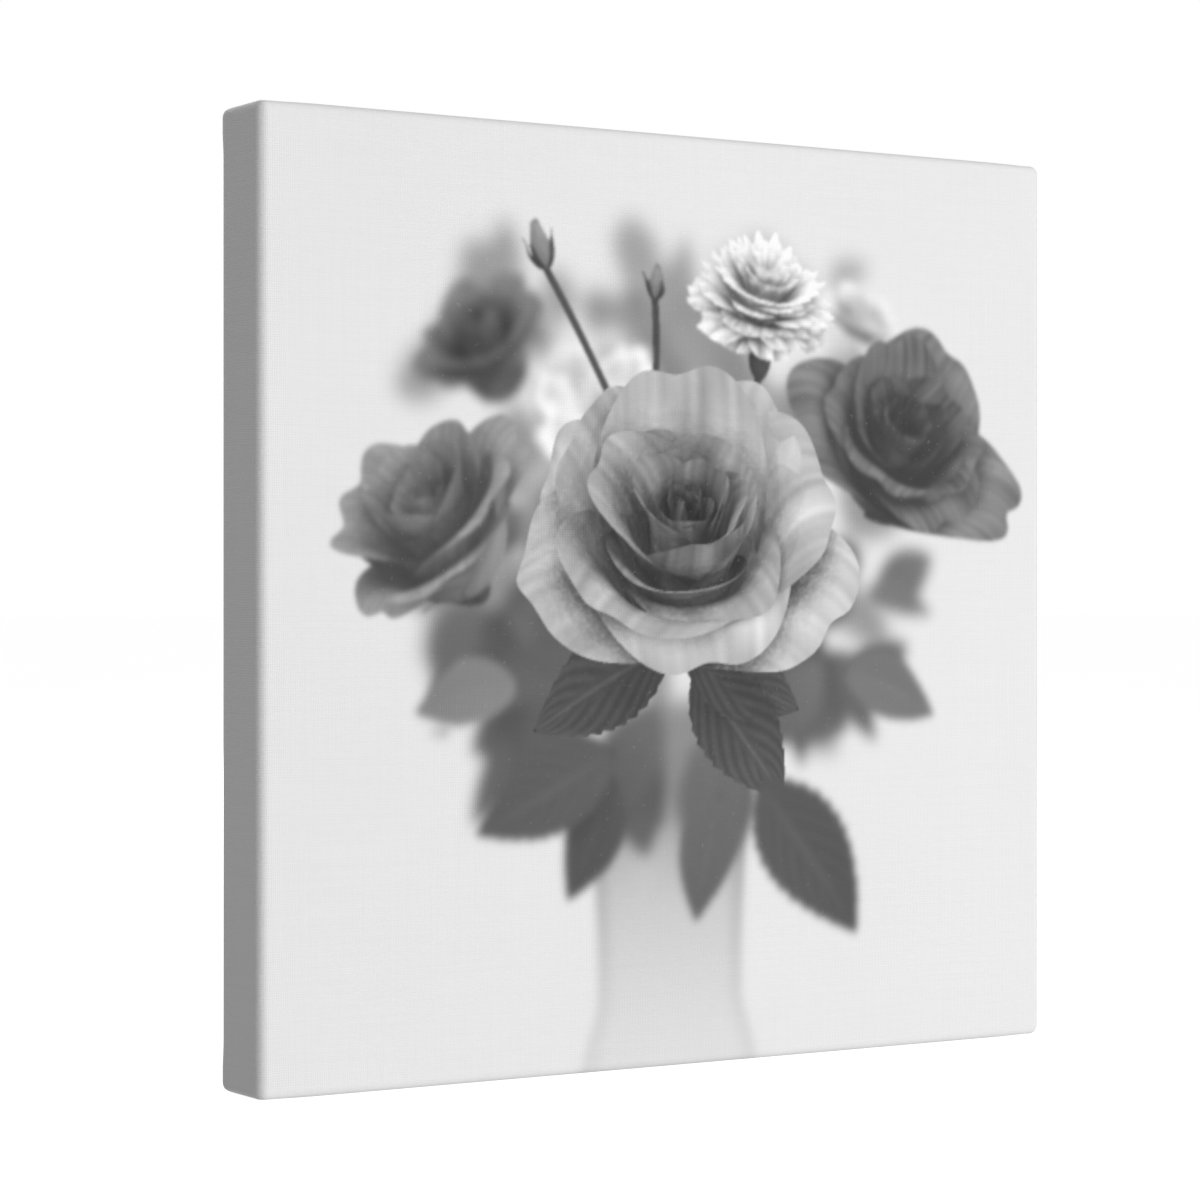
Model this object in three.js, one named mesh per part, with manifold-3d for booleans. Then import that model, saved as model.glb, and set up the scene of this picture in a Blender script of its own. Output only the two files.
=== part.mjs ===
// A stretched canvas: one cloth wrapped over four mitred stretcher bars and stapled at the back, with
// eight wedge keys in the corner slots, a sawtooth hanger on two nails and four soft bumpers.
//
// Units are millimetres, +X is to the right seen from the front, +Y to the back and +Z up.
// The origin is the centre of the underside of the whole box. Inside the board group the drawing
// plane is the picture plane: x to the right, y up from the middle of the frame, z to the viewer.
import * as THREE from "three";
import { mergeVertices } from "three/addons/utils/BufferGeometryUtils.js";
import Module from "manifold-3d";

const wasm = await Module();
wasm.setup();

// Finished canvas
const SIDE = 355.6; // width and height, 14 in
const DEPTH = 31.75; // front face to back of the cloth, 1.25 in
const CLOTH = 0.5; // primed cotton canvas
const EDGE_RADIUS = 3; // outer radius where the cloth turns an edge
const CORNER_RADIUS = 3.5; // outer radius of the four corners seen from the front
const FLAP = 22; // cloth turned onto the back, from the outer edge to its cut edge

// Clearances
const FIT = 0.3; // between wood parts, and between cloth and wood at the front and back
const WRAP_GAP = 0.9; // between cloth and wood at the sides, room for the tucked corner folds
const SEAT_GAP = 0.15; // under staple crowns, bumpers and the hanger

// Stretcher bars
const BAR_WIDTH = 38;
const BAR_DEPTH = DEPTH - 2 * (CLOTH + FIT);
const BAR_ROUND = 2.5; // eased outer edges under the cloth
const BAR_EASE = 1; // chamfer of the inner edges
const LIP = 6; // width of the raised lip that carries the cloth
const LIP_ROLL = 3; // the lip's rounded shoulder
const LIP_DROP = 2; // from the lip to the sloping face
const FACE_DROP = 4.5; // from the lip to the inner edge, so that the cloth touches the lip alone
const FRAME = SIDE - 2 * (CLOTH + WRAP_GAP); // outside of the assembled bars

// Corner joint: a mitre at the front and at the back, with two tongues side by side between them
const TONGUE = 4.725; // thickness of a tongue and of a key
const FRONT_TONGUE = BAR_DEPTH / 2 - FIT / 2 - TONGUE; // depth of the front tongue's face
const REAR_TONGUE = BAR_DEPTH / 2 + FIT / 2;
const KEY_ROOM = 9; // the slot runs this far past the tongue, for the key

// Wedge keys
const KEY_LENGTH = 40;
const KEY_INSERTED = 20; // length of a key inside its slot
const KEY_TIP = 4; // width at the narrow end
const KEY_EASE = 0.8; // chamfer of the driven end's corners

// Staples
const CROWN = 10.6; // outside width
const WIRE = 0.5; // thickness
const WIRE_WIDTH = 1.3;
const LEG = 8; // from the crown's underside to the point
const BEND = 1; // outer radius where a leg leaves the crown
const POINT = 0.8; // length of the chisel point
const STAPLES_A_SIDE = 7;
const STAPLE_PITCH = 45;
const STAPLE_INSET = 13; // from the canvas's outer edge to the staple line
const STAPLE_TILT = 0.07; // the most that a staple is turned from the line, in radians
const TILT_STEP = 2.4; // phase from one staple's turn to the next, so that no two look alike
const FOLD_STAPLE_INSET = 17; // from both outer edges to the staple across a corner's fold
const FOLD_LIFT = 0.6; // the folded corner is thicker, so its staple stands this much higher

// Bumpers
const BUMPER_RADIUS = 5;
const BUMPER_HEIGHT = 2.4;
const BUMPER_RIM = 0.7; // height of the upright rim under the dome
const BUMPER_INSET = 9.5;

// Sawtooth hanger
const HANGER_LENGTH = 45;
const HANGER_HEIGHT = 10;
const HANGER_PLATE = 0.7; // steel thickness
const HANGER_INSET = 30.5; // from the canvas's top edge to the plate's middle
const HANGER_LIFT = 1.4; // how far the toothed part stands off the ends
const HANGER_BRIDGE = 26; // length of the toothed part
const HANGER_RAMP = 3; // length of the slope at each end of it
const HANGER_END_HEIGHT = 7;
const TEETH = 9;
const TOOTH_PITCH = 2.4;
const TOOTH_DEPTH = 1.8;
const NAIL_SPACING = 38;
const NAIL_SHANK = 0.8; // radius
const NAIL_HEAD = 2; // radius
const NAIL_HEAD_FLAT = 1.6; // radius of the flat top inside the head's chamfer
const NAIL_HEAD_THICKNESS = 0.6;
const NAIL_LENGTH = 12; // below the head
const NAIL_POINT = 2;

const OVERALL_DEPTH = DEPTH + SEAT_GAP + BUMPER_HEIGHT;
const FRONT = OVERALL_DEPTH / 2; // z of the printed face
const BACK = FRONT - DEPTH; // z of the flaps' outer face
const BAR_FRONT = FRONT - CLOTH - FIT;
const BAR_BACK = BAR_FRONT - BAR_DEPTH;
const QUARTER = Math.PI / 2;
const PAST = 2; // how far a cutter runs past what it cuts

const look = (color, roughness, metalness = 0) =>
  new THREE.MeshStandardMaterial({ color, roughness, metalness, flatShading: true });
const MATERIALS = {
  canvas: look(0xe4e4e2, 0.85),
  pine: look(0xd9b98a, 0.7),
  key: look(0xcda875, 0.7),
  steel: look(0xb9bcc0, 0.35, 0.9),
  brass: look(0xb8974f, 0.4, 0.9),
  rubber: look(0x2b2b2b, 0.8),
};

// ---- solids ---------------------------------------------------------------------------------

/** A closed three.js geometry as a manifold-3d solid. */
function solid(geometry) {
  const bare = geometry.clone();
  bare.deleteAttribute("normal");
  bare.deleteAttribute("uv");
  const merged = mergeVertices(bare, 1e-4);
  return new wasm.Manifold(
    new wasm.Mesh({
      numProp: 3,
      vertProperties: new Float32Array(merged.attributes.position.array),
      triVerts: new Uint32Array(merged.index.array),
    }),
  );
}

/** A manifold-3d solid as a three.js geometry. */
function geometryOf(made) {
  const mesh = made.getMesh();
  const positions = new Float32Array(mesh.numVert * 3);
  for (let i = 0; i < mesh.numVert; i++) {
    const start = i * mesh.numProp;
    positions.set(mesh.vertProperties.subarray(start, start + 3), i * 3);
  }
  return new THREE.BufferGeometry()
    .setAttribute("position", new THREE.BufferAttribute(positions, 3))
    .setIndex(new THREE.BufferAttribute(mesh.triVerts, 1));
}

/** A prism over an outline in the drawing plane, from z = low to z = high. */
function prism(outline, low, high) {
  const options = { depth: high - low, bevelEnabled: false, curveSegments: 5 };
  return solid(new THREE.ExtrudeGeometry(outline, options).translate(0, 0, low));
}

function polygon(points) {
  return new THREE.Shape(points.map(([x, y]) => new THREE.Vector2(x, y)));
}

/** A square outline about the origin with rounded corners. */
function roundedSquare(side, radius) {
  const h = side / 2;
  const s = new THREE.Shape();
  s.moveTo(-h + radius, -h);
  s.absarc(h - radius, -h + radius, radius, -QUARTER, 0);
  s.absarc(h - radius, h - radius, radius, 0, QUARTER);
  s.absarc(-h + radius, h - radius, radius, QUARTER, 2 * QUARTER);
  s.absarc(-h + radius, -h + radius, radius, 2 * QUARTER, 3 * QUARTER);
  s.closePath();
  return s;
}

/** A square block with rounded corners and rounded edges, from z = low to z = high. */
function pillow(side, corner, edge, low, high) {
  const geometry = new THREE.ExtrudeGeometry(roundedSquare(side, corner), {
    depth: high - low - 2 * edge,
    bevelThickness: edge,
    bevelSize: edge,
    bevelOffset: -edge,
    bevelSegments: 4,
    curveSegments: 4,
  });
  return solid(geometry.translate(0, 0, low + edge));
}

function block(x, y, z) {
  const geometry = new THREE.BoxGeometry(x[1] - x[0], y[1] - y[0], z[1] - z[0]);
  return solid(geometry.translate((x[0] + x[1]) / 2, (y[0] + y[1]) / 2, (z[0] + z[1]) / 2));
}

/** The solid moved by a matrix. */
function moved(made, matrix) {
  return solid(geometryOf(made).applyMatrix4(matrix));
}

/** The matrix that carries the top side of the frame to side k, clockwise seen from the front. */
function quarterTurn(k) {
  return new THREE.Matrix4().makeRotationZ(-k * QUARTER);
}

// ---- stretcher bars -------------------------------------------------------------------------

/** The bar's section: x is the height in the frame and y the depth, for the top bar. */
function barSection() {
  const at = (v, depth) => [FRAME / 2 - v, BAR_FRONT - depth];
  const s = new THREE.Shape();
  s.moveTo(...at(BAR_ROUND, BAR_DEPTH));
  s.quadraticCurveTo(...at(0, BAR_DEPTH), ...at(0, BAR_DEPTH - BAR_ROUND));
  s.lineTo(...at(0, BAR_ROUND));
  s.quadraticCurveTo(...at(0, 0), ...at(BAR_ROUND, 0));
  s.lineTo(...at(LIP, 0));
  s.quadraticCurveTo(...at(LIP + LIP_ROLL, 0), ...at(LIP + LIP_ROLL, LIP_DROP));
  s.lineTo(...at(BAR_WIDTH - BAR_EASE, FACE_DROP));
  s.lineTo(...at(BAR_WIDTH, FACE_DROP + BAR_EASE));
  s.lineTo(...at(BAR_WIDTH, BAR_DEPTH - BAR_EASE));
  s.lineTo(...at(BAR_WIDTH - BAR_EASE, BAR_DEPTH));
  s.closePath();
  return s;
}

/** What is taken off one end of the top bar: end is -1 for the left and 1 for the right. */
function endCutters(end, tongueDepth, slotDepth) {
  const x = (u) => end * (FRAME / 2 - u);
  const y = (v) => FRAME / 2 - v;
  const z = (depth) => BAR_FRONT - depth;
  const step = FIT / Math.SQRT2;
  const outline = [
    [x(-PAST), y(-PAST)],
    [x(-PAST + step), y(-PAST)],
    [x(BAR_WIDTH + PAST + step), y(BAR_WIDTH + PAST)],
    [x(-PAST), y(BAR_WIDTH + PAST)],
  ];
  const mitre = polygon(end < 0 ? outline : outline.reverse());
  const slotX = [x(-PAST), x(BAR_WIDTH + KEY_ROOM)].sort((a, b) => a - b);
  const slotY = [y(BAR_WIDTH + PAST), y(-PAST)];
  const slotFront = slotDepth - FIT;
  const slotRear = slotDepth + TONGUE + FIT;
  const rearMitre = Math.max(tongueDepth + TONGUE, slotRear - FIT);
  const frontMitre = Math.min(tongueDepth, slotFront + FIT);
  return [
    prism(mitre, z(frontMitre), z(-PAST)),
    prism(mitre, z(BAR_DEPTH + PAST), z(rearMitre)),
    block(slotX, slotY, [z(slotRear), z(slotFront)]),
  ];
}

/** The top bar, with its front tongue at the left and its rear tongue at the right. */
function plainBar() {
  const along = new THREE.Matrix4().makeBasis(
    new THREE.Vector3(0, 1, 0),
    new THREE.Vector3(0, 0, 1),
    new THREE.Vector3(1, 0, 0),
  );
  const options = { depth: FRAME, bevelEnabled: false, curveSegments: 4 };
  const stick = new THREE.ExtrudeGeometry(barSection(), options);
  stick.translate(0, 0, -FRAME / 2).applyMatrix4(along);
  const envelope = prism(roundedSquare(FRAME, BAR_ROUND), BAR_BACK - PAST, BAR_FRONT + PAST);
  const cutters = [
    ...endCutters(-1, FRONT_TONGUE, REAR_TONGUE),
    ...endCutters(1, REAR_TONGUE, FRONT_TONGUE),
  ];
  return cutters.reduce((bar, cutter) => bar.subtract(cutter), solid(stick).intersect(envelope));
}

// ---- wedge keys -----------------------------------------------------------------------------

/** The outline of the top left corner's key that lies along the top bar and points left. */
function keyOutline() {
  const tip = -FRAME / 2 + BAR_WIDTH - KEY_INSERTED;
  const straight = FRAME / 2 - BAR_WIDTH - FIT;
  const taper = (KEY_ROOM - 2 * FIT - KEY_TIP) / KEY_INSERTED;
  const wide = KEY_TIP + taper * KEY_LENGTH;
  return [
    [tip, straight],
    [tip, straight - KEY_TIP],
    [tip + KEY_LENGTH - KEY_EASE, straight - wide + KEY_EASE * taper],
    [tip + KEY_LENGTH, straight - wide + KEY_EASE],
    [tip + KEY_LENGTH, straight - KEY_EASE],
    [tip + KEY_LENGTH - KEY_EASE, straight],
  ];
}

/** The front key fills the layer of the front tongues; the rear one is its mirror in the mitre. */
function key(layer) {
  if (layer === "front") {
    const face = BAR_FRONT - FRONT_TONGUE;
    return prism(polygon(keyOutline()), face - TONGUE, face);
  }
  const face = BAR_FRONT - REAR_TONGUE;
  const mirrored = keyOutline().map(([x, y]) => [-y, -x]);
  return prism(polygon(mirrored.reverse()), face - TONGUE, face);
}

// ---- staples --------------------------------------------------------------------------------

/** One staple about the origin, its crown's underside at z = 0 and its legs going up z. */
function staple() {
  const h = CROWN / 2;
  const s = new THREE.Shape();
  s.moveTo(-h, LEG - POINT);
  s.lineTo(-h, BEND - WIRE);
  s.absarc(-h + BEND, BEND - WIRE, BEND, Math.PI, 3 * QUARTER);
  s.absarc(h - BEND, BEND - WIRE, BEND, 3 * QUARTER, 4 * QUARTER);
  s.lineTo(h, LEG - POINT);
  s.lineTo(h - WIRE, LEG);
  s.lineTo(h - WIRE, BEND - WIRE);
  s.absarc(h - BEND, BEND - WIRE, BEND - WIRE, 0, -QUARTER, true);
  s.absarc(-h + BEND, BEND - WIRE, BEND - WIRE, -QUARTER, -2 * QUARTER, true);
  s.lineTo(-h + WIRE, LEG);
  s.closePath();
  const options = { depth: WIRE_WIDTH, bevelEnabled: false, curveSegments: 3 };
  return new THREE.ExtrudeGeometry(s, options)
    .translate(0, 0, -WIRE_WIDTH / 2)
    .rotateX(QUARTER);
}

/** The holes that a staple's legs need, in the same place as staple(). */
function legHoles() {
  const outer = CROWN / 2 + FIT;
  const inner = CROWN / 2 - WIRE - FIT;
  const half = WIRE_WIDTH / 2 + FIT;
  const depth = [-PAST, LEG + FIT];
  return block([-outer, -inner], [-half, half], depth).add(
    block([inner, outer], [-half, half], depth),
  );
}

/** Every staple's name and place. A group per side, and one staple across each corner's fold. */
function staplePlaces() {
  const crownZ = BACK - SEAT_GAP;
  const places = [];
  const sides = ["top", "right", "bottom", "left"];
  const corners = ["top_left", "top_right", "bottom_right", "bottom_left"];
  const middle = (STAPLES_A_SIDE - 1) / 2;
  for (let k = 0; k < sides.length; k++) {
    for (let i = 0; i < STAPLES_A_SIDE; i++) {
      const tilt = STAPLE_TILT * Math.sin(TILT_STEP * places.length);
      const place = new THREE.Matrix4()
        .makeTranslation((i - middle) * STAPLE_PITCH, SIDE / 2 - STAPLE_INSET, crownZ)
        .multiply(new THREE.Matrix4().makeRotationZ(tilt));
      places.push({ name: `staple_${sides[k]}_${i + 1}`, matrix: place.premultiply(quarterTurn(k)) });
    }
    const inset = SIDE / 2 - FOLD_STAPLE_INSET;
    const place = new THREE.Matrix4()
      .makeTranslation(-inset, inset, crownZ - FOLD_LIFT)
      .multiply(new THREE.Matrix4().makeRotationZ(QUARTER / 2));
    places.push({ name: `staple_${corners[k]}_fold`, matrix: place.premultiply(quarterTurn(k)) });
  }
  return places;
}

// ---- cloth ----------------------------------------------------------------------------------

/** The cloth: a shallow tray with its rim turned onto the back of the bars. */
function cloth(holes) {
  const outside = pillow(SIDE, CORNER_RADIUS, EDGE_RADIUS, BACK, FRONT);
  const inside = pillow(
    SIDE - 2 * CLOTH,
    CORNER_RADIUS - CLOTH,
    EDGE_RADIUS - CLOTH,
    BACK + CLOTH,
    FRONT - CLOTH,
  );
  const opening = SIDE / 2 - FLAP;
  const mouth = block([-opening, opening], [-opening, opening], [BACK - PAST, BACK + CLOTH + PAST]);
  return [inside, mouth, ...holes].reduce((made, cutter) => made.subtract(cutter), outside);
}

// ---- hanger, nails and bumpers --------------------------------------------------------------

/** The sawtooth plate: its bent strip crossed with its toothed outline. */
function hanger() {
  const seat = BAR_BACK - SEAT_GAP;
  const bridge = HANGER_BRIDGE / 2;
  const end = HANGER_LENGTH / 2;
  const bend = [
    [-end, seat],
    [-bridge - HANGER_RAMP, seat],
    [-bridge, seat - HANGER_LIFT],
    [bridge, seat - HANGER_LIFT],
    [bridge + HANGER_RAMP, seat],
    [end, seat],
  ];
  const under = bend.map(([x, z]) => [x, z - HANGER_PLATE]).reverse();
  const strip = prism(polygon([...under, ...bend]), -HANGER_HEIGHT, HANGER_HEIGHT);
  const middle = SIDE / 2 - HANGER_INSET;
  // The strip's outline is drawn in x and z, so it is turned to run along y.
  const upright = new THREE.Matrix4()
    .makeTranslation(0, middle, 0)
    .multiply(new THREE.Matrix4().makeRotationX(QUARTER));
  const turned = moved(strip, upright);

  const top = middle + HANGER_HEIGHT / 2;
  const low = middle - HANGER_HEIGHT / 2;
  const outline = new THREE.Shape();
  const endTop = middle + HANGER_END_HEIGHT / 2;
  const endLow = middle - HANGER_END_HEIGHT / 2;
  outline.moveTo(-end, endLow);
  outline.lineTo(-bridge, low);
  const firstTooth = (-TEETH * TOOTH_PITCH) / 2;
  for (let i = 0; i < TEETH; i++) {
    const x = firstTooth + i * TOOTH_PITCH;
    outline.lineTo(x, low);
    outline.lineTo(x + TOOTH_PITCH / 2, low + TOOTH_DEPTH);
  }
  outline.lineTo(-firstTooth, low);
  outline.lineTo(bridge, low);
  outline.lineTo(end, endLow);
  outline.lineTo(end, endTop);
  outline.lineTo(bridge, top);
  outline.lineTo(-bridge, top);
  outline.lineTo(-end, endTop);
  outline.closePath();
  for (const side of [-1, 1]) {
    const hole = new THREE.Path();
    hole.absarc((side * NAIL_SPACING) / 2, middle, NAIL_SHANK + FIT, 0, 4 * QUARTER, true);
    outline.holes.push(hole);
  }
  return turned.intersect(prism(outline, BAR_BACK - 2 * PAST, BAR_BACK + PAST));
}

/** A nail whose head's underside is at z = 0, its shank going up z. */
function nail() {
  const profile = [
    [0, -NAIL_HEAD_THICKNESS],
    [NAIL_HEAD_FLAT, -NAIL_HEAD_THICKNESS],
    [NAIL_HEAD, -NAIL_HEAD_THICKNESS / 2],
    [NAIL_HEAD, 0],
    [NAIL_SHANK, 0],
    [NAIL_SHANK, NAIL_LENGTH - NAIL_POINT],
    [0, NAIL_LENGTH],
  ].map(([r, y]) => new THREE.Vector2(r, y));
  return new THREE.LatheGeometry(profile, 16).rotateX(QUARTER);
}

/** A domed bumper whose flat face is at z = 0, rising towards -z. */
function bumper() {
  const profile = [new THREE.Vector2(0, 0), new THREE.Vector2(BUMPER_RADIUS, 0)];
  const steps = 5;
  for (let i = 0; i <= steps; i++) {
    const a = (i / steps) * QUARTER;
    const r = i === steps ? 0 : BUMPER_RADIUS * Math.cos(a);
    profile.push(new THREE.Vector2(r, BUMPER_RIM + (BUMPER_HEIGHT - BUMPER_RIM) * Math.sin(a)));
  }
  return new THREE.LatheGeometry(profile, 24).rotateX(-QUARTER);
}

// ---- assembly -------------------------------------------------------------------------------

const board = new THREE.Group();

/** Adds one named piece to the board, at a matrix. */
function add(name, shape, material, matrix = new THREE.Matrix4()) {
  const geometry = shape.isBufferGeometry ? shape : geometryOf(shape);
  const mesh = new THREE.Mesh(geometry, material);
  mesh.name = name;
  mesh.applyMatrix4(matrix);
  board.add(mesh);
  return mesh;
}

const staples = staplePlaces();
const holes = staples.map(({ matrix }) => moved(legHoles(), matrix));
const nailPlaces = [-1, 1].map((side) =>
  new THREE.Matrix4().makeTranslation(
    (side * NAIL_SPACING) / 2,
    SIDE / 2 - HANGER_INSET,
    BAR_BACK - 2 * SEAT_GAP - HANGER_PLATE,
  ),
);
const nailHoles = nailPlaces.map((matrix) => {
  const length = NAIL_LENGTH + 2 * FIT;
  const bore = new THREE.CylinderGeometry(NAIL_SHANK + FIT, NAIL_SHANK + FIT, length, 16);
  return solid(bore.rotateX(QUARTER).translate(0, 0, length / 2).applyMatrix4(matrix));
});

add("canvas", cloth(holes), MATERIALS.canvas);

const bar = plainBar();
["top", "right", "bottom", "left"].forEach((side, k) => {
  const cutters = k === 0 ? [...holes, ...nailHoles] : holes;
  const placed = cutters.reduce((made, cutter) => made.subtract(cutter), moved(bar, quarterTurn(k)));
  add(`stretcher_bar_${side}`, placed, MATERIALS.pine);
});

["top_left", "top_right", "bottom_right", "bottom_left"].forEach((corner, k) => {
  for (const layer of ["front", "rear"]) {
    add(`key_${corner}_${layer}`, key(layer), MATERIALS.key, quarterTurn(k));
  }
  const inset = SIDE / 2 - BUMPER_INSET;
  const foot = new THREE.Matrix4().makeTranslation(-inset, inset, BACK - SEAT_GAP);
  add(`bumper_${corner}`, bumper(), MATERIALS.rubber, foot.premultiply(quarterTurn(k)));
});

for (const { name, matrix } of staples) {
  add(name, staple(), MATERIALS.steel, matrix);
}

add("sawtooth_hanger", hanger(), MATERIALS.brass);
["left", "right"].forEach((side, i) => {
  add(`hanger_nail_${side}`, nail(), MATERIALS.steel, nailPlaces[i]);
});

board.position.set(0, 0, SIDE / 2);
board.rotation.x = QUARTER;

const stretchedCanvas = new THREE.Group();
stretchedCanvas.add(board);
export default stretchedCanvas;
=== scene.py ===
"""A stretched canvas: printed cloth over keyed pine bars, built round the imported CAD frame."""
import math

import bpy
import numpy as np
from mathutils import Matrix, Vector


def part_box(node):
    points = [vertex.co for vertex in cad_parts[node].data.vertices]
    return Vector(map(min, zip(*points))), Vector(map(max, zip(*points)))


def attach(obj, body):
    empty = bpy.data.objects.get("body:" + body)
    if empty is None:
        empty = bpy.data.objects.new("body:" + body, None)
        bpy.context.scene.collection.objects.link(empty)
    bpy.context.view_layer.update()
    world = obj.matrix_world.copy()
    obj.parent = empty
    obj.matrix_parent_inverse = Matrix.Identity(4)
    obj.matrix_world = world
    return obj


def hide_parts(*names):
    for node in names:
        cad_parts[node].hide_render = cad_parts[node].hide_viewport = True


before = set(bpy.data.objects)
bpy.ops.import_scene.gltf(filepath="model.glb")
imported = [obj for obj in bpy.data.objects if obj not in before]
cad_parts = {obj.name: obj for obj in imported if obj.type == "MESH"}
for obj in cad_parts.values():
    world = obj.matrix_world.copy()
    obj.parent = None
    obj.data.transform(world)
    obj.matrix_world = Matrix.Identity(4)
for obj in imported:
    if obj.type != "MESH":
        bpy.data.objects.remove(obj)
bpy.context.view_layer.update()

MM = 0.001
BODY = "canvas_on_bars"

cloth_low, cloth_high = (np.array(corner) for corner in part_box("canvas"))
SIDE = cloth_high[0] - cloth_low[0]
DEPTH = cloth_high[1] - cloth_low[1]
FRONT_Y = cloth_low[1]
MIDDLE_Z = (cloth_low[2] + cloth_high[2]) / 2
STAPLE_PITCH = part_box("staple_top_2")[0].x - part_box("staple_top_1")[0].x

# Where the camera stands, in widths of the canvas from the middle of its face
CAMERA_LEFT = 2.0185
CAMERA_AWAY = 3.046
CAMERA_HEADING = math.radians(-32.21)  # its line of sight, turned from straight at the face
LENS_MM = 102.17

# The lamps: where each one hangs, its width and height, and its watts
LAMPS = {
    "key": ((0.65, -2.4, MIDDLE_Z), (2.8, 2.6), 54.0),
    "above": ((0.45, -0.5, MIDDLE_Z + 1.5), (0.9, 0.9), 4.5),
    "below": ((0.45, -0.5, MIDDLE_Z - 1.5), (0.9, 0.9), 4.5),
    "fill": ((0.2, 2.2, 1.2), (1.5, 1.5), 26.0),
}
ROOM_LIGHT = 0.312  # brightness of the room round the canvas
FLOOR_REACH = 30.0  # from the middle to each side
FLOOR_GLOW = 0.72  # the floor's own light, which keeps it pale

# The cloth
CLOTH_THICK = 0.40 * MM
LAYER_STEP = 0.45 * MM  # from one layer of a folded corner to the next
EDGE_ROUND = 3.8 * MM
FLAP = 22 * MM
FLAP_WOBBLE = 0.8 * MM  # how far the cut edge wanders
CELLS = 592  # across the face, a multiple of INSIDE_STRIDE
INSIDE_STRIDE = 8  # the cloth's inside has one cell for this many of the outside's
TUCK_WIDTH = 6 * MM  # how far a folded corner's top layer reaches past the corner
TUCK_START = 2 * MM  # where the layer under it turns back
TUCK_GROWS = 8 * MM  # a fold grows from nothing at the face to its whole size this far back
TUCK_LIFT = 0.6 * MM  # how much higher the thick corner stands on the back
SQUEEZED = 30 * MM  # the cloth beside a corner is drawn in over this length
SUNK_UNTIL = (6 * MM, 24 * MM)  # from a corner, where the cloth comes level with its fold again
THICK_UNTIL = (TUCK_WIDTH + 2 * MM, TUCK_WIDTH + 14 * MM)  # where the thick corner ends
RUN_POINTS = 5  # along a straight layer of a fold
TURN_POINTS = 6  # round each of its two turns
ROUND_ROWS = np.array((0.18, 0.36, 0.54, 0.76, 1.0)) * EDGE_ROUND  # rows of points over an edge
SIDE_ROWS = 10
FLAP_ROWS = 21
CUT_WAVES = ((21 * MM, 1.0, 1.0), (7.3 * MM, 0.6, 0.0), (2.9 * MM, 0.3, 0.0))  # length, share, start
PUCKER = 0.34 * MM  # height of the ridges beside a staple
PUCKER_AWAY = 1.5 * MM
PUCKER_WIDTH = 0.6 * MM
PUCKER_SEAT = 0.08 * MM  # how far the cloth round a staple stands up from the wood
PUCKER_REACH = 6 * MM
FLAP_LIFT = 0.7 * MM  # how far the cut edge rises between staples
FLAP_LIFT_FROM = 12 * MM
SAG = 0.25 * MM  # the face is this much hollow in its middle
PRINT_BLEED = 8 * MM  # how far the print reaches onto the back
PRIMER = 0.95  # tone of the primed cloth that isn't printed
YARNS = 260  # loose yarn ends along the cut edge
YARN_RADIUS = 0.11 * MM
YARN_POINTS = 9
WEFT_PITCH = 0.88 * MM
WARP_PITCH = 0.72 * MM


# ---- the printed picture ----------------------------------------------------------------------
# A bouquet of modelled petals and leaves, lit by a soft sky and drawn to a grid of tones with a
# camera's shallow focus. One unit is the width of the printed face, x is to the right, y up and z
# towards the viewer.

TAU = 2 * math.pi
GOLDEN_ANGLE = TAU * 0.381966
PICTURE_SEED = 11
PAPER = 0.82  # tone of the picture's pale background
SKY_LIGHT = (0.30, 0.78, 0.52)  # where the soft light comes from
BRIGHTEST = 0.97  # the picture's lightest tone
STEM = 0.0042  # a flower stem's radius
BLOSSOM_LEAN = np.array((0.6, 1.0, 1.0, 1.0))  # shares of a blossom petal's slope, base to tip
BLOSSOM_CURL = np.array((0.0, 0.0, 0.2, 0.5))
PROFILE_STEPS = 60  # stations along a petal's middle line
CONTRAST = 1.35  # over 1, the shadows between petals are deeper than a plain sky gives


def unit(vectors):
    return vectors / np.maximum(np.linalg.norm(vectors, axis=-1, keepdims=True), 1e-9)


def smooth(start, end, x):
    t = np.clip((x - start) / (end - start), 0, 1)
    return t * t * (3 - 2 * t)


def facing(direction, spin=0.0):
    """A rotation that turns the local z axis to a direction, after a spin about that axis."""
    z = unit(np.array(direction, float))
    side = (0.0, 1.0, 0.0) if abs(z[1]) < 0.95 else (1.0, 0.0, 0.0)
    x = unit(np.cross(side, z))
    y = np.cross(z, x)
    c, s = math.cos(spin), math.sin(spin)
    return np.stack([c * x + s * y, c * y - s * x, z], axis=1)


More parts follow.
